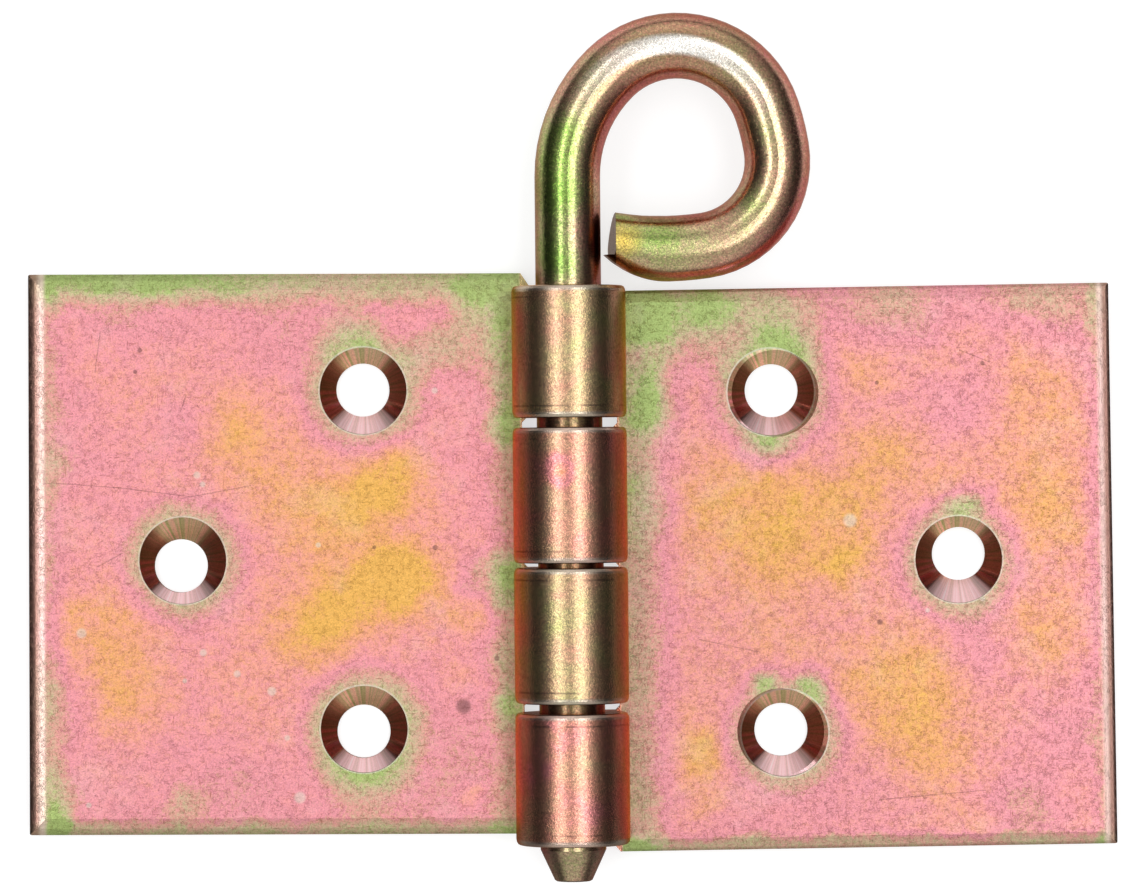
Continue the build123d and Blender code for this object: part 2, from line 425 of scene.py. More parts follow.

# %% [markdown]
# ## Clouds on the leaves
#
# The bath left its clouds where the leaves hung in it, so they are listed one by one: the place
# in
# X and Y, how far the cloud reaches, and how much it adds to the film.

# %% Clouds
CLOUDS = {
    "left_leaf": [
        (-49.6, 6.8, 8.5, 0.06), (-53.6, 5.0, 3.8, -0.09), (-35.6, 5.9, 6.5, 0.07),
        (-36.1, 0.9, 5.7, 0.11), (-41.7, 2.8, 4.7, -0.09), (-28.9, -5.7, 8.2, 0.11),
        (-54.5, -1.1, 3.6, -0.16), (-23.2, 12.5, 4.8, -0.25), (-14.9, 10.3, 3.8, -0.23),
        (-11.4, 12.1, 3.8, -0.16), (-8.8, 15.8, 4.6, -0.36), (-19.0, -2.3, 5.0, 0.16),
        (-22.5, -4.8, 5.4, 0.14), (-17.8, -5.5, 5.4, 0.11), (-52.0, -17.1, 5.4, 0.07),
        (-49.2, -21.2, 8.2, 0.14), (-47.3, -27.4, 5.8, 0.11), (-54.7, -26.5, 5.4, -0.12),
        (-36.3, -23.5, 7.2, 0.06), (-29.9, -16.1, 6.8, 0.10), (-19.9, -13.7, 5.3, 0.22),
        (-16.4, -15.1, 5.4, 0.14), (-24.2, -17.0, 5.4, 0.14), (-27.5, -19.9, 5.7, 0.14),
        (-10.6, -18.9, 3.5, 0.12), (-11.5, -23.7, 3.4, 0.10), (-10.2, -13.2, 3.2, -0.10),
        (-22.8, -35.9, 6.2, -0.22), (-14.6, -35.5, 9.1, -0.10), (-11.2, -36.4, 1.9, 0.18),
        (-34.0, -36.9, 8.0, -0.09), (-42.0, -37.9, 3.1, -0.22), (-55.5, -36.7, 4.2, -0.22),
        (-55.3, -39.0, 2.0, -0.29), (-7.2, 1.8, 3.2, -0.26), (-7.4, -14.5, 4.3, -0.22),
        (-7.0, -27.6, 3.0, -0.26), (-7.0, -12.4, 2.4, -0.17), (-8.4, 8.6, 6.5, -0.16),
        (-9.0, -22.0, 4.0, -0.08), (-18.0, -12.0, 12.0, 0.09), (-27.0, -8.0, 15.0, 0.06),
        (-24.0, -17.0, 10.0, 0.04), (-50.0, -22.0, 9.0, 0.04), (-38.0, 3.0, 11.0, 0.05),
        (-34.0, -22.0, 10.0, 0.06), (-47.0, 18.0, 9.4, -0.09), (-33.0, 17.0, 6.7, -0.09),
    ],
    "right_leaf": [
        (24.0, -8.0, 13.0, 0.03), (48.0, -5.0, 13.0, 0.05), (38.0, -27.0, 12.0, 0.03),
        (26.0, -38.0, 10.8, -0.06), (36.0, 4.0, 7.2, -0.03), (7.6, 13.8, 3.7, -0.44),
        (11.7, 13.3, 6.4, -0.36), (17.1, 14.3, 6.5, -0.31), (10.0, 10.6, 2.5, -0.12),
        (23.2, 11.3, 4.9, -0.36), (8.6, 3.4, 4.3, -0.31), (9.1, 7.1, 3.5, -0.22),
        (20.9, -0.1, 3.8, -0.31), (30.1, 12.3, 5.3, -0.06), (31.8, 8.2, 4.3, 0.11),
        (8.5, -6.3, 5.3, -0.18), (17.9, -7.7, 8.2, 0.11), (24.6, -6.5, 5.5, 0.15),
        (29.9, -5.4, 4.2, 0.14), (33.7, -0.6, 5.4, 0.15), (36.0, 14.1, 5.8, -0.18),
        (50.7, 15.5, 8.6, -0.18), (49.3, 9.7, 4.6, 0.10), (50.5, 3.3, 7.4, 0.10),
        (41.8, 4.1, 5.2, -0.12), (41.7, -6.9, 3.1, -0.31), (51.9, -7.0, 6.8, 0.11),
        (29.0, -11.9, 4.2, 0.19), (23.0, -12.3, 5.4, 0.11), (22.7, -21.4, 6.8, 0.06),
        (13.3, -33.4, 3.9, 0.16), (14.1, -38.7, 3.0, 0.09), (16.8, -40.2, 4.9, -0.06),
        (25.7, -26.2, 2.4, -0.31), (20.6, -25.3, 2.0, -0.29), (35.1, -25.7, 7.3, 0.14),
        (38.2, -32.2, 6.8, 0.11), (50.7, -20.2, 5.9, 0.12), (43.3, -21.0, 6.0, -0.13),
        (48.9, -39.0, 5.2, -0.21), (54.8, -30.8, 5.8, -0.09),
    ],
}
for node, clouds in CLOUDS.items():
    print(len(clouds), "clouds on the", node)

# %% [markdown]
# ## Marks of use
#
# Leaves knock against each other in the drum. Worn specks show grey zinc through the film,
# dirt leaves dark ones, and corners draw thin scratches. Real marks are few and each has its
# own place, so these are listed one by one too, where a scattered pattern would look like one.

# %% Specks and scratches
WORN_SPECKS = {  # (X, Y, radius)
    "left_leaf": [
        (-39.9, -2.6, 0.40), (-39.3, -3.6, 0.32), (-41.4, -24.6, 0.26), (-35.8, -23.9, 0.40),
        (-32.1, -25.8, 0.50), (-39.4, -21.6, 0.40), (-52.4, -19.4, 0.55), (-27.0, -10.2, 0.30),
        (-51.8, -37.8, 0.30), (-29.2, -37.2, 0.64), (-30.5, -30.8, 0.32), (-14.4, 6.2, 0.35),
    ],
    "right_leaf": [(29.9, -8.1, 0.75), (44.0, -16.6, 0.30), (38.1, -17.8, 0.26)],
}
DARK_SPECKS = {
    "left_leaf": [
        (-8.0, -22.5, 0.30), (-14.5, -10.6, 0.30), (-11.6, -27.6, 0.86), (-45.9, 10.8, 0.26),
        (-46.4, 8.5, 0.24), (-21.0, -10.5, 0.22),
    ],
    "right_leaf": [(33.0, -19.0, 0.34), (44.2, 8.6, 0.24), (32.9, 6.6, 0.22), (25.0, 4.0, 0.2)],
}
SCRATCHES = {  # (start, end), each in X and Y
    "left_leaf": [
        ((-55.4, -3.3), (-48.1, -3.9)), ((-48.1, -3.9), (-40.7, -4.9)),
        ((-41.7, -5.1), (-34.2, -3.8)), ((-50.1, 12.8), (-50.7, 8.5)),
        ((-41.0, 5.9), (-41.6, 4.2)), ((-50.6, -12.3), (-48.0, -10.9)),
    ],
    "right_leaf": [
        ((13.7, -20.7), (20.1, -22.1)), ((41.8, 10.0), (45.0, 8.7)),
        ((32.8, -38.0), (44.1, -37.1)),
    ],
}


def near_any(recipe, spot, specks):
    """1 in any of the specks and 0 outside them."""
    hit = 0.0
    for x, y, radius in specks:
        away = recipe.vector("DISTANCE", spot, (x, y, 0.0))
        hit = recipe.math("MAXIMUM", hit, recipe.fade(away, 1.25 * radius, 0.6 * radius))
    return hit


for node in SCRATCHES:
    print(len(WORN_SPECKS[node]) + len(DARK_SPECKS[node]), "specks and",
          len(SCRATCHES[node]), "scratches on the", node)

# %% [markdown]
# ## Grain
#
# Rolled sheet has a fine grain, and plating makes it sparkle. Short dark worms come from a
# cloud noise: where it crosses its middle value it leaves a thin line, and a second noise
# breaks the line up. Stretched clouds add short straight strokes, and a finer noise gives the
# sparkle. Both also go into the relief, so what looks dark is a little lower too.

# %% Grain
WORM_SIZE = 0.32
WORM_WIDTH = 0.06  # how far from its middle value the noise still draws the line
BREAK_SIZE = 0.55
STROKE_SIZE = 1.4
STROKE_LENGTH = 7.0  # how much longer than wide a stroke is
SPARKLE_SIZE = 0.17
SPECKLE_SIZE = 0.28


def grain(recipe, place):
    """(dark worms, fine sparkle), both from 0 to 1."""
    curl = recipe.noise(place, WORM_SIZE, 3.0, 0.7, 1.2)
    off_middle = recipe.math("ABSOLUTE", recipe.math("SUBTRACT", curl, 0.5))
    line = recipe.fade(off_middle, WORM_WIDTH, 0.0)
    breaks = recipe.fade(recipe.noise(place, BREAK_SIZE, 3.0, 0.7), 0.42, 0.60)
    worms = recipe.times(line, breaks)
    for stretch in ((1.0, STROKE_LENGTH, STROKE_LENGTH), (STROKE_LENGTH, 1.0, STROKE_LENGTH)):
        stretched = recipe.vector("MULTIPLY", place, stretch)
        strokes = recipe.noise(stretched, STROKE_SIZE, 2.0, 0.7)
        worms = recipe.math("MAXIMUM", worms, recipe.fade(strokes, 0.60, 0.72))
    sparkle = recipe.noise(place, SPARKLE_SIZE, 2.0, 0.7, 0.4)
    return worms, sparkle


def dappled(recipe, colour, pattern, amount):
    """The colour, made lighter and darker by amount where a 0 to 1 pattern is high and low."""
    level = recipe.math("MULTIPLY_ADD", pattern, 4.0 * amount, 1.0 - 2.0 * amount)
    return recipe.blend(1.0, colour, level, "MULTIPLY")


def speckled(recipe, colour, place, amount):
    """The colour with coarser dots than the sparkle, as on metal that was pressed or drawn."""
    return dappled(recipe, colour, recipe.noise(place, SPECKLE_SIZE, 2.0, 0.7), amount)


print("the worms are", WORM_SIZE, "mm and the sparkle", SPARKLE_SIZE, "mm across")

# %% [markdown]
# ## Metal
#
# All three pieces are bare metal under their film, so one shader serves them: fully metallic,
# with the film's colour as its own. Its edge tint is what the mirror image turns to at a
# glancing angle, brown here, because a film changes its colour when it is seen at a slant. The
# relief is only a bump, since the grain is far finer than any face of the mesh.

# %% Metal
LEAF_EDGE_TINT = (0.82, 0.48, 0.28, 1.0)
PIN_EDGE_TINT = (0.80, 0.62, 0.54, 1.0)
LEAF_RELIEF = 0.014  # depth of the relief in mm
PIN_RELIEF = 0.006


def metal(recipe, colour, rough, relief, depth, edge_tint):
    """The metal's shader, joined to the material's output."""
    shader = recipe.add("ShaderNodeBsdfPrincipled")
    shader.inputs["Metallic"].default_value = 1.0
    shader.inputs["Specular Tint"].default_value = edge_tint
    recipe.feed(shader.inputs["Base Color"], colour)
    recipe.feed(shader.inputs["Roughness"], rough)
    bump = recipe.add("ShaderNodeBump")
    bump.inputs["Strength"].default_value = 1.0
    bump.inputs["Distance"].default_value = depth * MM
    recipe.feed(bump.inputs["Height"], relief)
    recipe.feed(shader.inputs["Normal"], bump.outputs["Normal"])
    recipe.feed(recipe.add("ShaderNodeOutputMaterial").inputs["Surface"], shader.outputs[0])
    return shader


def plate(node, material):
    """Gives a piece its finish, as the bath does, all over."""
    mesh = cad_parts[node].data
    mesh.materials.clear()
    mesh.materials.append(material)


print("the relief is", LEAF_RELIEF, "mm deep on the leaves and", PIN_RELIEF, "mm on the pin")

# %% [markdown]
# ## Places on a leaf
#
# A leaf has four kinds of surface. The flat face is matt and carries the clouds. The barrel and
# the free edge were pressed hard against the tool and are glossier. The countersinks were
# drilled, so their colour changes in streaks that point at the hole.
#
# The blanks lie a little out of square with the pin, so the distances to their edges are
# measured along the turned blank, and the distance out from the pin is not.

# %% Sizes and distances on a leaf
SIDE = {"left_leaf": -1.0, "right_leaf": 1.0}
REACH = 58.0
HALF_HEIGHT = 30.0
MIDDLE = {"left_leaf": -11.34, "right_leaf": -13.34}  # in Y
SKEW = {"left_leaf": -0.35, "right_leaf": 0.42}  # degrees
OFF_FACE = (2.52, 2.8)  # heights above which a point is off the flat face, first and surely
BARREL_SIDE = (5.4, 5.1)  # the same for the distance out from the pin's axis
KNUCKLES = {  # (top, foot) in Y
    "left_leaf": [(17.16, 3.16), (-12.78, -27.16)],
    "right_leaf": [(2.13, -12.25), (-28.19, -42.19)],
}


def leaf_places(recipe, node):
    """Where a point lies on a leaf, with its distances from the pin's axis and to the edges."""
    place, x, y, z = millimetres(recipe)
    turn = math.tan(math.radians(SKEW[node]))
    up = recipe.math("SUBTRACT", y, MIDDLE[node])
    across = recipe.math("MULTIPLY_ADD", up, turn, x)
    along = recipe.math("MULTIPLY_ADD", x, -turn, up)
    out = recipe.times(x, SIDE[node])
    beside = recipe.fade(out, *BARREL_SIDE)
    return SimpleNamespace(
        place=place, x=x, y=y, z=z, out=out,
        flat=joined(recipe, x, y, 0.0),
        to_free=recipe.math("SUBTRACT", REACH, recipe.times(across, SIDE[node])),
        to_top=recipe.math("SUBTRACT", HALF_HEIGHT, along),
        to_foot=recipe.math("ADD", HALF_HEIGHT, along),
        on_barrel=recipe.math("MAXIMUM", recipe.fade(z, *OFF_FACE), beside),
    )


print("a leaf reaches", REACH, "mm out and is", 2 * HALF_HEIGHT, "mm high")

# %% [markdown]
# ## Countersinks
#
# A countersink is cut by a cone that turns in the hole, before the bath. Its wall stands at 45
# degrees, so each side mirrors the opposite side, and its colours come out dark and deep. The
# cutter leaves streaks that run down the wall, and its rim loses the film first. The cone's
# faces are part of the leaf's mesh, so the finish finds them by their distance from the middle
# of the hole.

# %% Countersinks
COUNTERSINK = 4.65  # radius at the face
RING_REACH = 3.6  # how far past the rim the film is drawn thin
STREAK_SIZE = 0.085  # on a circle of radius 1
SINKS = {
    "left_leaf": [(-22.05, 6.25), (-41.49, -11.74), (-22.27, -29.95)],
    "right_leaf": [(21.56, 5.72), (41.49, -12.39), (22.73, -30.78)],
}


def sinks(recipe, flat, centres):
    """Masks inside, round and on the rim of the countersinks, the streaks, how far the wall
    lies to +Y of the middle (-1 to 1), and the distance from the middle."""
    inside, ring, rim, away_inside, offset = 0.0, 0.0, 0.0, 0.0, None
    for centre in centres:
        from_centre = recipe.vector("SUBTRACT", flat, (*centre, 0.0))
        away = recipe.vector("LENGTH", from_centre)
        here = recipe.fade(away, COUNTERSINK + 0.02, COUNTERSINK - 0.02)
        inside = recipe.math("ADD", inside, here)
        near = recipe.fade(away, COUNTERSINK + RING_REACH, COUNTERSINK - 0.6)
        ring = recipe.math("ADD", ring, near)
        off_rim = recipe.math("ABSOLUTE", recipe.math("SUBTRACT", away, COUNTERSINK + 0.06))
        rim = recipe.math("ADD", rim, recipe.fade(off_rim, 0.14, 0.04))
        away_inside = recipe.math("ADD", away_inside, recipe.times(away, here))
        masked = recipe.vector("SCALE", from_centre, scale=here)
        offset = masked if offset is None else recipe.vector("ADD", offset, masked)
    toward = recipe.vector("NORMALIZE", offset)
    streaks = recipe.noise(toward, STREAK_SIZE, 2.0, 0.6)
    split = recipe.add("ShaderNodeSeparateXYZ")
    recipe.feed(split.inputs[0], toward)
    return SimpleNamespace(
        inside=inside, outside=recipe.math("SUBTRACT", 1.0, inside), ring=ring, rim=rim,
        streaks=streaks, lean=split.outputs["Y"], away=away_inside,
    )


print("each leaf has", len(SINKS["left_leaf"]), "countersinks of", 2 * COUNTERSINK, "mm")

# %% [markdown]
# ## Film on a leaf
#
# On the flat face the film starts at one thickness and gets large faint clouds, then the ones
# that were set by hand, then the bands where it drained along the edges and beside the barrel,
# and a thin ring round each hole. Where it is thin it is also dotted.

# %% Film on the flat face
FACE_FILM = {"left_leaf": 0.60, "right_leaf": 0.655}
THINNEST, THICKEST = 0.10, 0.90
RING_FILM = -0.34
BROAD_SIZE, BROAD_FILM = 12.0, 0.12
FINE_SIZE, FINE_FILM = 1.6, 0.12
DOT_SIZE, DOT_FILM = 0.3, 0.24
RAGGED = 1.6  # mm by which the borders of the bands wander


def edge_bands(recipe, node, leaf):
    """Where the film drained: (distance, where it starts, where it is full, amount)."""
    if node == "left_leaf":
        beside_barrel = recipe.fade(leaf.y, 1.5, 4.0, -0.22, -0.34)
        along_top = recipe.fade(leaf.x, -42.0, -30.0, -0.46, -0.36)
        return [
            (leaf.to_free, 4.8, 1.7, -0.18), (leaf.out, 9.8, 6.0, beside_barrel),
            (leaf.to_top, 4.6, 0.8, along_top), (leaf.to_foot, 2.2, 0.3, -0.30),
        ]
    along_top = recipe.fade(leaf.x, 28.0, 42.0, -0.15, -0.08)
    return [
        (leaf.to_free, 3.4, 1.2, -0.18), (leaf.out, 12.5, 6.0, -0.34),
        (leaf.to_top, 5.6, 1.0, along_top), (leaf.to_foot, 2.2, 0.4, -0.30),
    ]


def face_film(recipe, node, leaf, ring):
    """The film on the flat face: large and small clouds, bands at the edges, fine dots."""
    spot = wandering(recipe, leaf.place, 9.0, 5.0)
    spot = flattened(recipe, wandering(recipe, spot, 2.6, 2.0))
    broad = recipe.around(recipe.noise(leaf.place, BROAD_SIZE, 2.0, 0.5), BROAD_FILM)
    film = recipe.math("ADD", FACE_FILM[node], broad)
    fine = recipe.around(recipe.noise(leaf.place, FINE_SIZE, 3.0, 0.65), FINE_FILM)
    film = recipe.math("ADD", film, fine)
    for x, y, reach, amount in CLOUDS[node]:
        film = recipe.math("ADD", film, cloud(recipe, spot, (x, y), reach, amount))
    ragged = recipe.around(recipe.noise(leaf.place, 3.0, 4.0, 0.65), RAGGED)
    for distance, start, full, amount in edge_bands(recipe, node, leaf):
        distance = recipe.math("ADD", distance, ragged)
        film = recipe.math("ADD", film, recipe.fade(distance, start, full, 0.0, amount))
    film = recipe.math("ADD", film, recipe.times(ring, RING_FILM))
    dots = recipe.around(recipe.noise(leaf.place, DOT_SIZE, 3.0, 0.75), DOT_FILM)
    thin = recipe.fade(film, 0.66, 0.40, 0.45, 1.0)
    film = recipe.math("ADD", film, recipe.times(dots, thin))
    return recipe.math("MINIMUM", recipe.math("MAXIMUM", film, THINNEST), THICKEST)


print("the left face starts at film", FACE_FILM["left_leaf"], "and the right one at",
      FACE_FILM["right_leaf"])

# %% [markdown]
# The knuckles hung at other heights in the bath than the faces, so each has a film of its own,
# and the upper knuckle of the right leaf has a thick gold spot. In the countersinks the film
# follows the streaks.

# %% Film on the barrel and in the countersinks
KNUCKLE_FILMS = {"left_leaf": (0.30, 0.29), "right_leaf": (0.40, 0.43)}  # upper and lower one
GOLD_SPOT = ((-1.1, -2.4), 2.1, 0.34)  # centre, reach and amount
MOTTLE_SIZE, MOTTLE_FILM = 4.0, 0.26
SINK_FILM = 0.38  # on the left and right walls
LEAN_FILM = -0.14  # what the upper wall has more, and the lower wall less
STREAK_FILM = 0.30


def barrel_film(recipe, node, leaf):
    """The film on the two knuckles of a leaf."""
    upper, lower = KNUCKLE_FILMS[node]
    middle = (KNUCKLES[node][0][1] + KNUCKLES[node][1][0]) / 2
    film = recipe.fade(leaf.y, middle - 1.0, middle + 1.0, lower, upper)
    mottle = recipe.around(recipe.noise(leaf.place, MOTTLE_SIZE, 4.0, 0.65), MOTTLE_FILM)
    film = recipe.math("ADD", film, mottle)
    if node == "right_leaf":
        spot = flattened(recipe, wandering(recipe, leaf.place, 0.6, 0.8))
        film = recipe.math("ADD", film, cloud(recipe, spot, *GOLD_SPOT))
    return film


def leaf_film(recipe, node, leaf, sink):
    """The film all over a leaf."""
    off_barrel = recipe.math("SUBTRACT", 1.0, leaf.on_barrel)
    face = recipe.times(face_film(recipe, node, leaf, sink.ring), off_barrel)
    film = recipe.total(face, recipe.times(barrel_film(recipe, node, leaf), leaf.on_barrel))
    sink_film = recipe.math("MULTIPLY_ADD", sink.lean, LEAN_FILM, SINK_FILM)
    sink_film = recipe.math("ADD", sink_film, recipe.around(sink.streaks, STREAK_FILM))
    film = recipe.times(film, sink.outside)
    return recipe.total(film, recipe.times(sink_film, sink.inside))


print("the gold spot reaches", GOLD_SPOT[1], "mm")

# %% [markdown]
# ## Colour of a leaf
#
# The ramp gives the film its colour, and the kinds of surface then change it. The face gets a
# faint haze, and dark worms that show most where the film is thin. The barrel is speckled, and
# low on its sides it gets a painted brown reflection of the leaves. In the countersinks the left
# and right walls get painted shade, and the lower wall, the one to -Y, gets a painted pale
# reflection of the pale card beyond the eye, which it faces.

# %% Colour of the face and the barrel
FACE_TINT = {"left_leaf": (0.86, 0.85, 0.88, 1.0), "right_leaf": (0.79, 0.79, 0.82, 1.0)}
HAZE = paint(236, 206, 200)
HAZE_SIZE, HAZE_SHARE = 6.0, 0.15
WORM_TINT = (0.40, 0.28, 0.20, 1.0)
BARREL_TINT = (0.86, 0.79, 0.72, 1.0)
# painted reflection of the leaves, browning the knuckles' sides
BARREL_SIDE_REFLECTION = (0.90, 0.56, 0.38, 1.0)
LEAF_SPARKLE = 0.22
BARREL_SPECKLE = 0.28


def face_and_barrel(recipe, node, leaf, sink, film, worms, sparkle):
    """The colour of the flat face and of the knuckles."""
    off_barrel = recipe.math("SUBTRACT", 1.0, leaf.on_barrel)
    face = recipe.times(off_barrel, sink.outside)
    colour = recipe.blend(face, recipe.ramp(film, FILM), FACE_TINT[node], "MULTIPLY")
    haze = recipe.fade(recipe.noise(leaf.place, HAZE_SIZE, 4.0, 0.65), 0.50, 0.72)
    colour = recipe.blend(recipe.times(recipe.times(haze, HAZE_SHARE), face), colour, HAZE)

    strength = recipe.fade(film, 0.74, 0.40, 0.46, 0.62)
    strength = recipe.times(strength, recipe.math("MULTIPLY_ADD", leaf.on_barrel, -0.7, 1.0))
    strength = recipe.times(strength, sink.outside)
    colour = recipe.blend(recipe.times(worms, strength), colour, WORM_TINT, "MULTIPLY")
    colour = dappled(recipe, colour, sparkle, LEAF_SPARKLE)

    coarse = speckled(recipe, colour, leaf.place, BARREL_SPECKLE)
    colour = recipe.blend(leaf.on_barrel, colour, coarse)
    colour = recipe.blend(leaf.on_barrel, colour, BARREL_TINT, "MULTIPLY")
    # painted reflection: between these heights the knuckles' sides are browned, where they mirror
    # the leaves
    side_reflection = recipe.times(recipe.fade(leaf.z, 8.8, 6.2), recipe.fade(leaf.z, 3.0, 5.0))
    side_reflection = recipe.times(leaf.on_barrel, side_reflection)
    return recipe.blend(side_reflection, colour, BARREL_SIDE_REFLECTION, "MULTIPLY")


print("the face of the left leaf is tinted by", FACE_TINT["left_leaf"][:3])

# %% Colour of the countersinks
# painted shade on the side walls, and a painted reflection of the pale card on the lower wall
SINK_SIDE_SHADE = (0.40, 0.30, 0.26, 1.0)
SINK_PAINTED_REFLECTION = paint(255, 226, 230)
REFLECTION_SHARE = 0.6
SIDE_WALL = (0.88, 0.66)  # how far to -Y or +Y the side walls start, and are full
LOWER_WALL = (-0.60, -0.80)  # the same for the lower wall
SINK_STREAKS = 0.30


def in_the_sinks(recipe, sink, colour):
    """Painted shade on the side walls, a painted reflection of the pale card on the lower wall,
    and the cutter's streaks over both.
    """
    # painted shade on the left and right walls
    sideways = recipe.fade(recipe.math("ABSOLUTE", sink.lean), *SIDE_WALL)
    sideways = recipe.times(sideways, sink.inside)
    colour = recipe.blend(sideways, colour, SINK_SIDE_SHADE, "MULTIPLY")
    # painted reflection of the pale card on the lower wall
    lower = recipe.fade(sink.lean, *LOWER_WALL, 0.0, REFLECTION_SHARE)
    colour = recipe.blend(recipe.times(sink.inside, lower), colour, SINK_PAINTED_REFLECTION)
    streaked = dappled(recipe, colour, sink.streaks, SINK_STREAKS)
    return recipe.blend(sink.inside, colour, streaked)


print("the lower wall shines in", [round(part, 2) for part in SINK_PAINTED_REFLECTION[:3]])

# %% [markdown]
# ## Wear and painted edge light of a leaf
#
# The ends of the knuckles rub on each other and show bare zinc, and so does the rim of each
# countersink. On top of the barrel the pale knuckle ends are also a painted highlight, where the
# rounded rim would catch the light. Each knuckle has a thin broken dark line near each end.
# The free edge falls away from the face and mirrors the sky above: its pale colour is a painted
# highlight, and its dark outer corner is painted shade.

# %% Wear and painted edge light of a leaf
BARE_ZINC_AND_HIGHLIGHT = paint(216, 210, 198)
DIRT = paint(92, 66, 62)
LINE_PLACE = 1.25  # of the rolled line, from a knuckle's end
LINE_WIDTH = 0.16
SCRATCH_WIDTH = 0.10
SHARES = {  # how much of the colour each mark takes up
    "line": 0.5, "knuckle end wear and highlight": 0.6, "worn speck": 0.5, "rim": 0.5, "dark speck": 0.6,
    "scratch": 0.35,
}
EDGE_WIDTH = {"left_leaf": 1.75, "right_leaf": 1.3}
# painted highlight on the free edge, and painted shade on its outer corner
PAINTED_EDGE_HIGHLIGHT = paint(236, 208, 200)
CORNER_SHADE = (0.52, 0.42, 0.38, 1.0)


def near_heights(recipe, y, heights, start, full):
    """1 where Y is near one of the heights."""
    hit = 0.0
    for height in heights:
        gap = recipe.math("ABSOLUTE", recipe.math("SUBTRACT", y, height))
        hit = recipe.math("MAXIMUM", hit, recipe.fade(gap, start, full))
    return hit


def wear_and_rim_highlight(recipe, node, leaf, sink, colour):
    """The colour with dark lines, pale knuckle ends of bare zinc and painted highlight, bare
    countersink edges, specks and scratches.
    """
    ends = [end for knuckle in KNUCKLES[node] for end in knuckle]
    inner = [end for top, foot in KNUCKLES[node] for end in (top - LINE_PLACE, foot + LINE_PLACE)]
    # the pale band at each knuckle end, on top of the barrel only: bare zinc from rubbing, and a
    # painted highlight
    rim_wear_and_highlight = near_heights(recipe, leaf.y, ends, 0.75, 0.4)
    rim_wear_and_highlight = recipe.times(rim_wear_and_highlight, recipe.fade(leaf.z, 7.0, 9.0))
    # a thin broken dark line near each end of a knuckle, on the barrel
    lines = near_heights(recipe, leaf.y, inner, LINE_WIDTH, 0.04)
    broken = recipe.fade(recipe.noise(leaf.place, 3.0, 2.0, 0.6), 0.44, 0.58)
    lines = recipe.times(recipe.times(lines, leaf.on_barrel), broken)
    colour = recipe.blend(recipe.times(lines, SHARES["line"]), colour, DIRT)
    specks = near_any(recipe, leaf.flat, WORN_SPECKS[node])
    specks = recipe.times(specks, SHARES["worn speck"])
    bare = recipe.math("MAXIMUM", recipe.times(rim_wear_and_highlight, SHARES["knuckle end wear and highlight"]), specks)
    bare = recipe.math("MAXIMUM", bare, recipe.times(sink.rim, SHARES["rim"]))
    colour = recipe.blend(bare, colour, BARE_ZINC_AND_HIGHLIGHT)
    dark = near_any(recipe, leaf.flat, DARK_SPECKS[node])
    colour = recipe.blend(recipe.times(dark, SHARES["dark speck"]), colour, DIRT)
    for start, end in SCRATCHES[node]:
        away = from_line(recipe, leaf.flat, start, end)
        near = recipe.fade(away, SCRATCH_WIDTH, 0.02)
        colour = recipe.blend(recipe.times(near, SHARES["scratch"]), colour, DIRT)
    return colour


def at_the_edge(recipe, node, leaf, colour):
    """(the colour with a painted highlight on its free edge and painted shade on the edge's outer
    corner, the mask of that edge).
    """
    width = EDGE_WIDTH[node]
    edge = recipe.fade(leaf.to_free, width + 0.3, width - 0.3)
    # painted highlight on the free edge
    colour = recipe.blend(recipe.times(edge, 0.7), colour, PAINTED_EDGE_HIGHLIGHT)
    # painted shade on the outer corner of the edge
    corner_shade = recipe.fade(leaf.to_free, 0.8 * width, 0.4 * width)
    return recipe.blend(corner_shade, colour, CORNER_SHADE, "MULTIPLY"), edge


print("the pale edges are", list(EDGE_WIDTH.values()), "mm wide")

# %% [markdown]
# ## Finish of a leaf
#
# Last come gloss and relief. The pressed and the drilled surfaces are glossier than the face.
# The worms are dents, the sparkle stands out, and the lower wall of a countersink gets a slope
# in its relief that tips it a little, so that it mirrors more than the wall across the hole.

# %% Finish of the leaves
MATT = 0.42  # roughness of the face
BARREL_GLOSS = 0.21  # how much less the roughness is
SINK_GLOSS = 0.14
EDGE_GLOSS = 0.14
SINK_TILT = 16.0  # relief per mm along the lower wall


def leaf_relief(recipe, leaf, sink, worms, sparkle):
    """The grain's relief, and the slope on the lower wall of the countersinks."""
    dents = recipe.math("MULTIPLY_ADD", leaf.on_barrel, -0.4, 0.5)
    dents = recipe.times(recipe.times(worms, sink.outside), dents)
    relief = recipe.times(sparkle, recipe.math("MULTIPLY_ADD", leaf.on_barrel, 1.1, 0.7))
    relief = recipe.math("SUBTRACT", relief, dents)
    slope = recipe.times(recipe.fade(sink.lean, -0.3, -0.7), SINK_TILT)
    return recipe.math("SUBTRACT", relief, recipe.times(sink.away, slope))


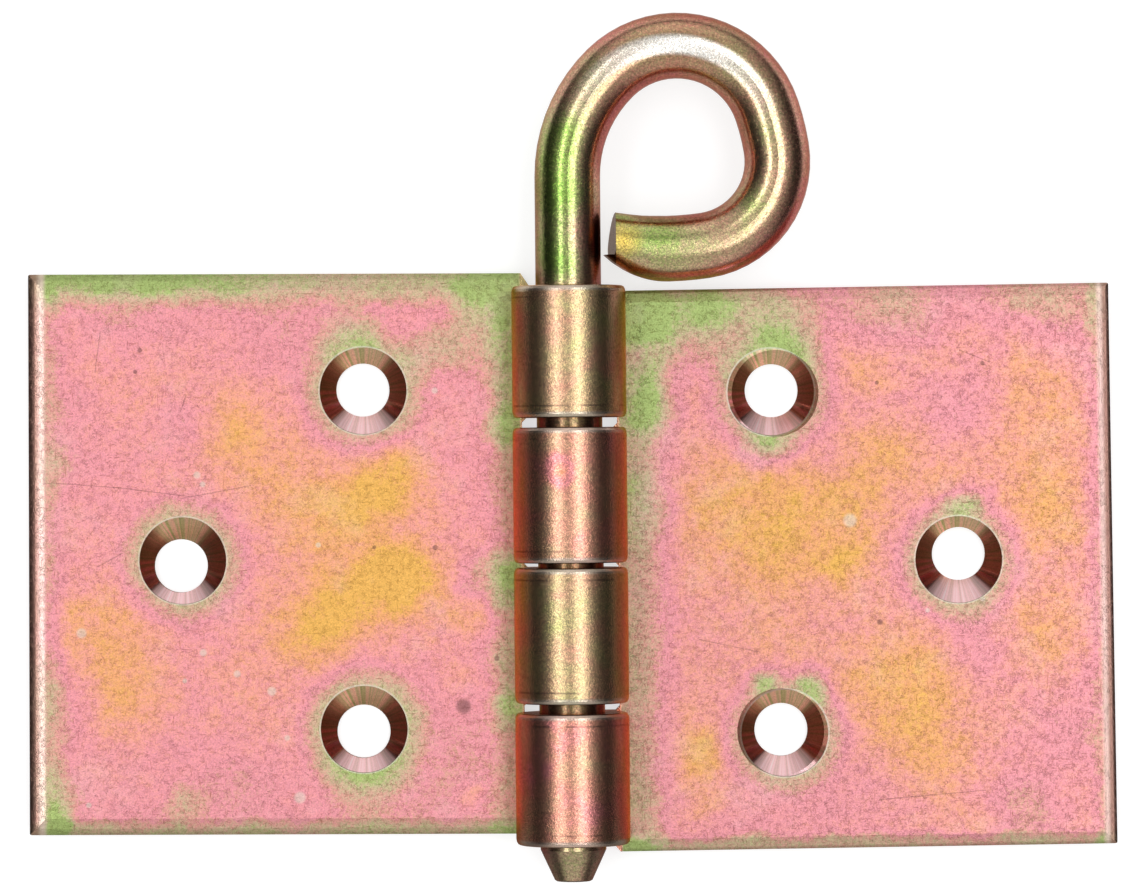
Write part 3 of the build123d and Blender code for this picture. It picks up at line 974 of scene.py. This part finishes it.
def leaf_finish(node):
    """Film, grain, wear, painted light on the edges, gloss and relief of one leaf."""
    material, recipe = recipe_for(node + "_zinc")
    leaf = leaf_places(recipe, node)
    sink = sinks(recipe, leaf.flat, SINKS[node])
    film = leaf_film(recipe, node, leaf, sink)
    worms, sparkle = grain(recipe, leaf.place)
    colour = face_and_barrel(recipe, node, leaf, sink, film, worms, sparkle)
    colour = in_the_sinks(recipe, sink, colour)
    colour = wear_and_rim_highlight(recipe, node, leaf, sink, colour)
    colour, edge = at_the_edge(recipe, node, leaf, colour)

    pressed = recipe.times(leaf.on_barrel, BARREL_GLOSS)
    glossy = recipe.math("MAXIMUM", pressed, recipe.times(sink.inside, SINK_GLOSS))
    glossy = recipe.math("MAXIMUM", glossy, recipe.times(edge, EDGE_GLOSS))
    rough = recipe.math("SUBTRACT", MATT, glossy)
    relief = leaf_relief(recipe, leaf, sink, worms, sparkle)
    metal(recipe, colour, rough, relief, LEAF_RELIEF, LEAF_EDGE_TINT)
    plate(node, material)
    print(node, "has", len(recipe.tree.nodes), "nodes in its finish")


for node in SIDE:
    leaf_finish(node)

# %% [markdown]
# ## Pin
#
# The pin is drawn bar, brighter than the sheet, and tumbling left its fine scratches round the
# bar. They throw light along the bar, so its stripes stay sharp where it runs along Y and melt
# into one broad white band where the eye's crown runs across. That takes a shader whose gloss
# has a direction, and the direction follows the bar: along Y on the shank, and round the middle
# of the eye on the rest. The same middle tells how far a point lies to the side of the bar.

# %% Places on the pin
EYE_MIDDLE = (11.1, 31.4)
EYE_RADIUS = 11.15  # of the bar's middle line
PIN_RADIUS = 3.5
BEND_START, BEND_END = 24.0, 30.0  # in Y, where the shank goes over into the eye
PAST_SHANK = (3.6, 4.1)  # in X, where only the eye comes


def pin_places(recipe):
    """Where a point lies on the pin: masks of the eye and the shank, the way from the eye's
    middle, and how far it is off the crest of the bar, squared, with 1 at the sides."""
    place, x, y, z = millimetres(recipe)
    flat = joined(recipe, x, y, 0.0)
    bent = recipe.fade(y, BEND_START, BEND_END)
    on_eye = recipe.math("MAXIMUM", bent, recipe.fade(x, *PAST_SHANK))
    on_shank = recipe.math("SUBTRACT", 1.0, on_eye)
    from_middle = recipe.vector("SUBTRACT", flat, (*EYE_MIDDLE, 0.0))
    eye_side = recipe.math("SUBTRACT", recipe.vector("LENGTH", from_middle), EYE_RADIUS)
    shank_side = recipe.times(x, recipe.times(on_shank, -1.0))
    side = recipe.total(recipe.times(eye_side, on_eye), shank_side)
    side = recipe.times(side, 1.0 / PIN_RADIUS)
    return SimpleNamespace(
        place=place, x=x, y=y, z=z, flat=flat, on_eye=on_eye, on_shank=on_shank,
        from_middle=from_middle, off_crest=recipe.times(side, side),
    )


print("the eye is bent round a middle line of", EYE_RADIUS, "mm")

# %% [markdown]
# ## Film on the pin
#
# The film is thin and green up the shank and on the eye's end, and thickens towards the bar's
# sides. The clouds are listed one by one again.

# %% Film on the pin
PIN_FILM = 0.28  # on the crest of the bar
PIN_SIDE_FILM = 0.20  # what its sides have more
PIN_BROAD_SIZE, PIN_BROAD_FILM = 5.0, 0.16
PIN_DOT_SIZE, PIN_DOT_FILM = 0.36, 0.20
PIN_CLOUDS = [  # (X, Y, reach, film)
    (-1.8, 20.5, 4.5, -0.30), (-2.0, 27.0, 5.0, -0.34), (-1.6, 33.0, 4.5, -0.22),
    (1.4, 22.0, 4.0, 0.06), (6.8, 23.4, 4.0, -0.22), (10.6, 23.4, 3.0, -0.20),
    (11.0, 21.0, 4.0, -0.08), (15.0, 22.6, 3.0, -0.04), (19.5, 26.2, 3.0, -0.10),
]


def pin_film(recipe, pin, spot):
    """The film on the pin: large clouds, fine dots and the clouds set by hand."""
    film = recipe.math("MULTIPLY_ADD", pin.off_crest, PIN_SIDE_FILM, PIN_FILM)
    broad = recipe.noise(pin.place, PIN_BROAD_SIZE, 2.0, 0.5)
    film = recipe.math("ADD", film, recipe.around(broad, PIN_BROAD_FILM))
    dots = recipe.noise(pin.place, PIN_DOT_SIZE, 3.0, 0.75)
    film = recipe.math("ADD", film, recipe.around(dots, PIN_DOT_FILM))
    for x, y, reach, amount in PIN_CLOUDS:
        film = recipe.math("ADD", film, cloud(recipe, spot, (x, y), reach, amount))
    return recipe.math("MAXIMUM", film, 0.0)


print(len(PIN_CLOUDS), "clouds on the pin")

# %% [markdown]
# ## Colour of the pin
#
# The bar's sides are painted darker and browner than its crest, as the shade and the brown
# reflections on the sides of a round bar. The eye's end has a gold patch, and its crown is
# browner with a painted white highlight along its crest. The part that runs in the barrel is
# painted darker, as the shade that the gaps between the knuckles show. Where the bar was
# sheared off, the cut face is grey steel.

# %% Colour of the pin
PIN_TINT = (0.90, 0.86, 0.82, 1.0)
# painted shade and reflection on the bar's sides
PIN_SIDE_SHADE = (0.62, 0.50, 0.46, 1.0)
GOLD = paint(240, 206, 100)
GOLD_PATCH = ((5.8, 21.8), 2.3, 0.85)  # centre, reach and share
SHANK_TINT = (0.85, 0.84, 0.90, 1.0)
# painted shade where the pin runs in the barrel
BARREL_SHADE_ON_PIN = (0.50, 0.45, 0.42, 1.0)
HIDDEN_TOP = (17.4, 12.0)  # in Y, where the hidden part starts, and is fully dark
HIDDEN_FOOT = (-42.5, -38.0)
BAR_SIDES = (0.45, 0.95)  # off the crest, squared, where the sides start, and are full
CREST = (0.14, 0.03)
CROWN = ((12.0, 41.5), 12.0, 1.0)  # centre, reach and share
CROWN_TINT = (0.84, 0.76, 0.70, 1.0)
# painted highlight along the crest of the eye's crown
PAINTED_CREST_HIGHLIGHT = paint(255, 252, 246)
CUT_GREY = paint(70, 62, 56)
CUT_LEFT = (3.52, 3.60)  # in X, where the cut face starts, and is full
CUT_RIGHT = (5.14, 5.04)
CUT_TOP = (28.0, 27.0)  # in Y


def pin_colour(recipe, pin):
    """The film's colour, with painted shade on the bar's sides and in the barrel, the browner
    crown, and a painted highlight on its crest.
    """
    spot = flattened(recipe, wandering(recipe, pin.place, 1.2, 1.2))
    colour = recipe.ramp(pin_film(recipe, pin, spot), FILM)
    colour = recipe.blend(1.0, colour, PIN_TINT, "MULTIPLY")
    # painted shade and reflection on the bar's sides
    shaded_sides = recipe.fade(pin.off_crest, *BAR_SIDES)
    colour = recipe.blend(shaded_sides, colour, PIN_SIDE_SHADE, "MULTIPLY")
    colour = recipe.blend(cloud(recipe, spot, *GOLD_PATCH), colour, GOLD)
    colour = recipe.blend(pin.on_shank, colour, SHANK_TINT, "MULTIPLY")
    # painted shade where the pin runs in the barrel
    barrel_shade = recipe.times(recipe.fade(pin.y, *HIDDEN_TOP), recipe.fade(pin.y, *HIDDEN_FOOT))
    colour = recipe.blend(barrel_shade, colour, BARREL_SHADE_ON_PIN, "MULTIPLY")
    crown = cloud(recipe, pin.flat, *CROWN)
    colour = recipe.blend(recipe.times(crown, 0.8), colour, CROWN_TINT, "MULTIPLY")
    # painted highlight along the crest
    crest_highlight = recipe.times(crown, recipe.fade(pin.off_crest, *CREST))
    return recipe.blend(crest_highlight, colour, PAINTED_CREST_HIGHLIGHT)


def sheared(recipe, pin, colour):
    """The colour with the grey face where the bar was cut off."""
    cut = recipe.times(recipe.fade(pin.x, *CUT_RIGHT), recipe.fade(pin.x, *CUT_LEFT))
    cut = recipe.times(cut, recipe.fade(pin.y, *CUT_TOP))
    return recipe.blend(cut, colour, CUT_GREY)


print("the cut face is", round(CUT_RIGHT[1] - CUT_LEFT[1], 2), "mm wide in X")

# %% [markdown]
# ## Finish of the pin
#
# The lower end was turned on a lathe, so its relief has fine grooves round the bar. The gloss's
# direction is the tangent, and it is made from the way round the eye's middle and the way down
# the shank.

# %% Finish of the pin
PIN_ROUGH = 0.22
PIN_STRETCH = 0.85  # how strongly its gloss follows the bar, from 0 to 1
TURNED_END = -42.7  # in Y, where the turned cone begins
GROOVE_SIZE = 0.16
GROOVE_DEPTH = 1.6  # times the depth of the relief
PIN_WORMS, PIN_SPARKLE, PIN_SPECKLE = 0.25, 0.45, 0.35


def pin_relief(recipe, pin, worms, sparkle):
    """The grain's relief, and the turned grooves on the cone."""
    turned = recipe.fade(pin.y, TURNED_END + 0.1, TURNED_END - 0.1)
    grooves = recipe.noise(joined(recipe, 0.0, pin.y, 0.0), GROOVE_SIZE, 1.0, 0.5)
    relief = recipe.math("SUBTRACT", recipe.times(sparkle, 0.7), recipe.times(worms, 0.4))
    return recipe.math("ADD", relief, recipe.times(recipe.times(grooves, turned), GROOVE_DEPTH))


def bar_way(recipe, pin):
    """The direction along the bar."""
    round_eye = recipe.vector("CROSS_PRODUCT", pin.from_middle, (0.0, 0.0, -1.0))
    round_eye = recipe.vector("NORMALIZE", round_eye)
    round_eye = recipe.vector("SCALE", round_eye, scale=pin.on_eye)
    down_shank = recipe.vector("SCALE", (0.0, -1.0, 0.0), scale=pin.on_shank)
    return recipe.vector("NORMALIZE", recipe.vector("ADD", round_eye, down_shank))


def pin_finish():
    """Film, grain, cut face, gloss and relief of the pin."""
    material, recipe = recipe_for("pin_zinc")
    pin = pin_places(recipe)
    worms, sparkle = grain(recipe, pin.place)
    colour = pin_colour(recipe, pin)
    colour = recipe.blend(recipe.times(worms, PIN_WORMS), colour, WORM_TINT, "MULTIPLY")
    colour = dappled(recipe, colour, sparkle, PIN_SPARKLE)
    colour = speckled(recipe, colour, pin.place, PIN_SPECKLE)
    colour = sheared(recipe, pin, colour)
    relief = pin_relief(recipe, pin, worms, sparkle)
    shader = metal(recipe, colour, PIN_ROUGH, relief, PIN_RELIEF, PIN_EDGE_TINT)
    shader.inputs["Anisotropic"].default_value = PIN_STRETCH
    recipe.feed(shader.inputs["Tangent"], bar_way(recipe, pin))
    plate("loose_pin", material)
    print("the pin has", len(recipe.tree.nodes), "nodes in its finish")


pin_finish()

# %% [markdown]
# ## The box of the hinge
#
# Nothing here moved a piece or added one, so the hinge must still fill the same box as when it
# was loaded.
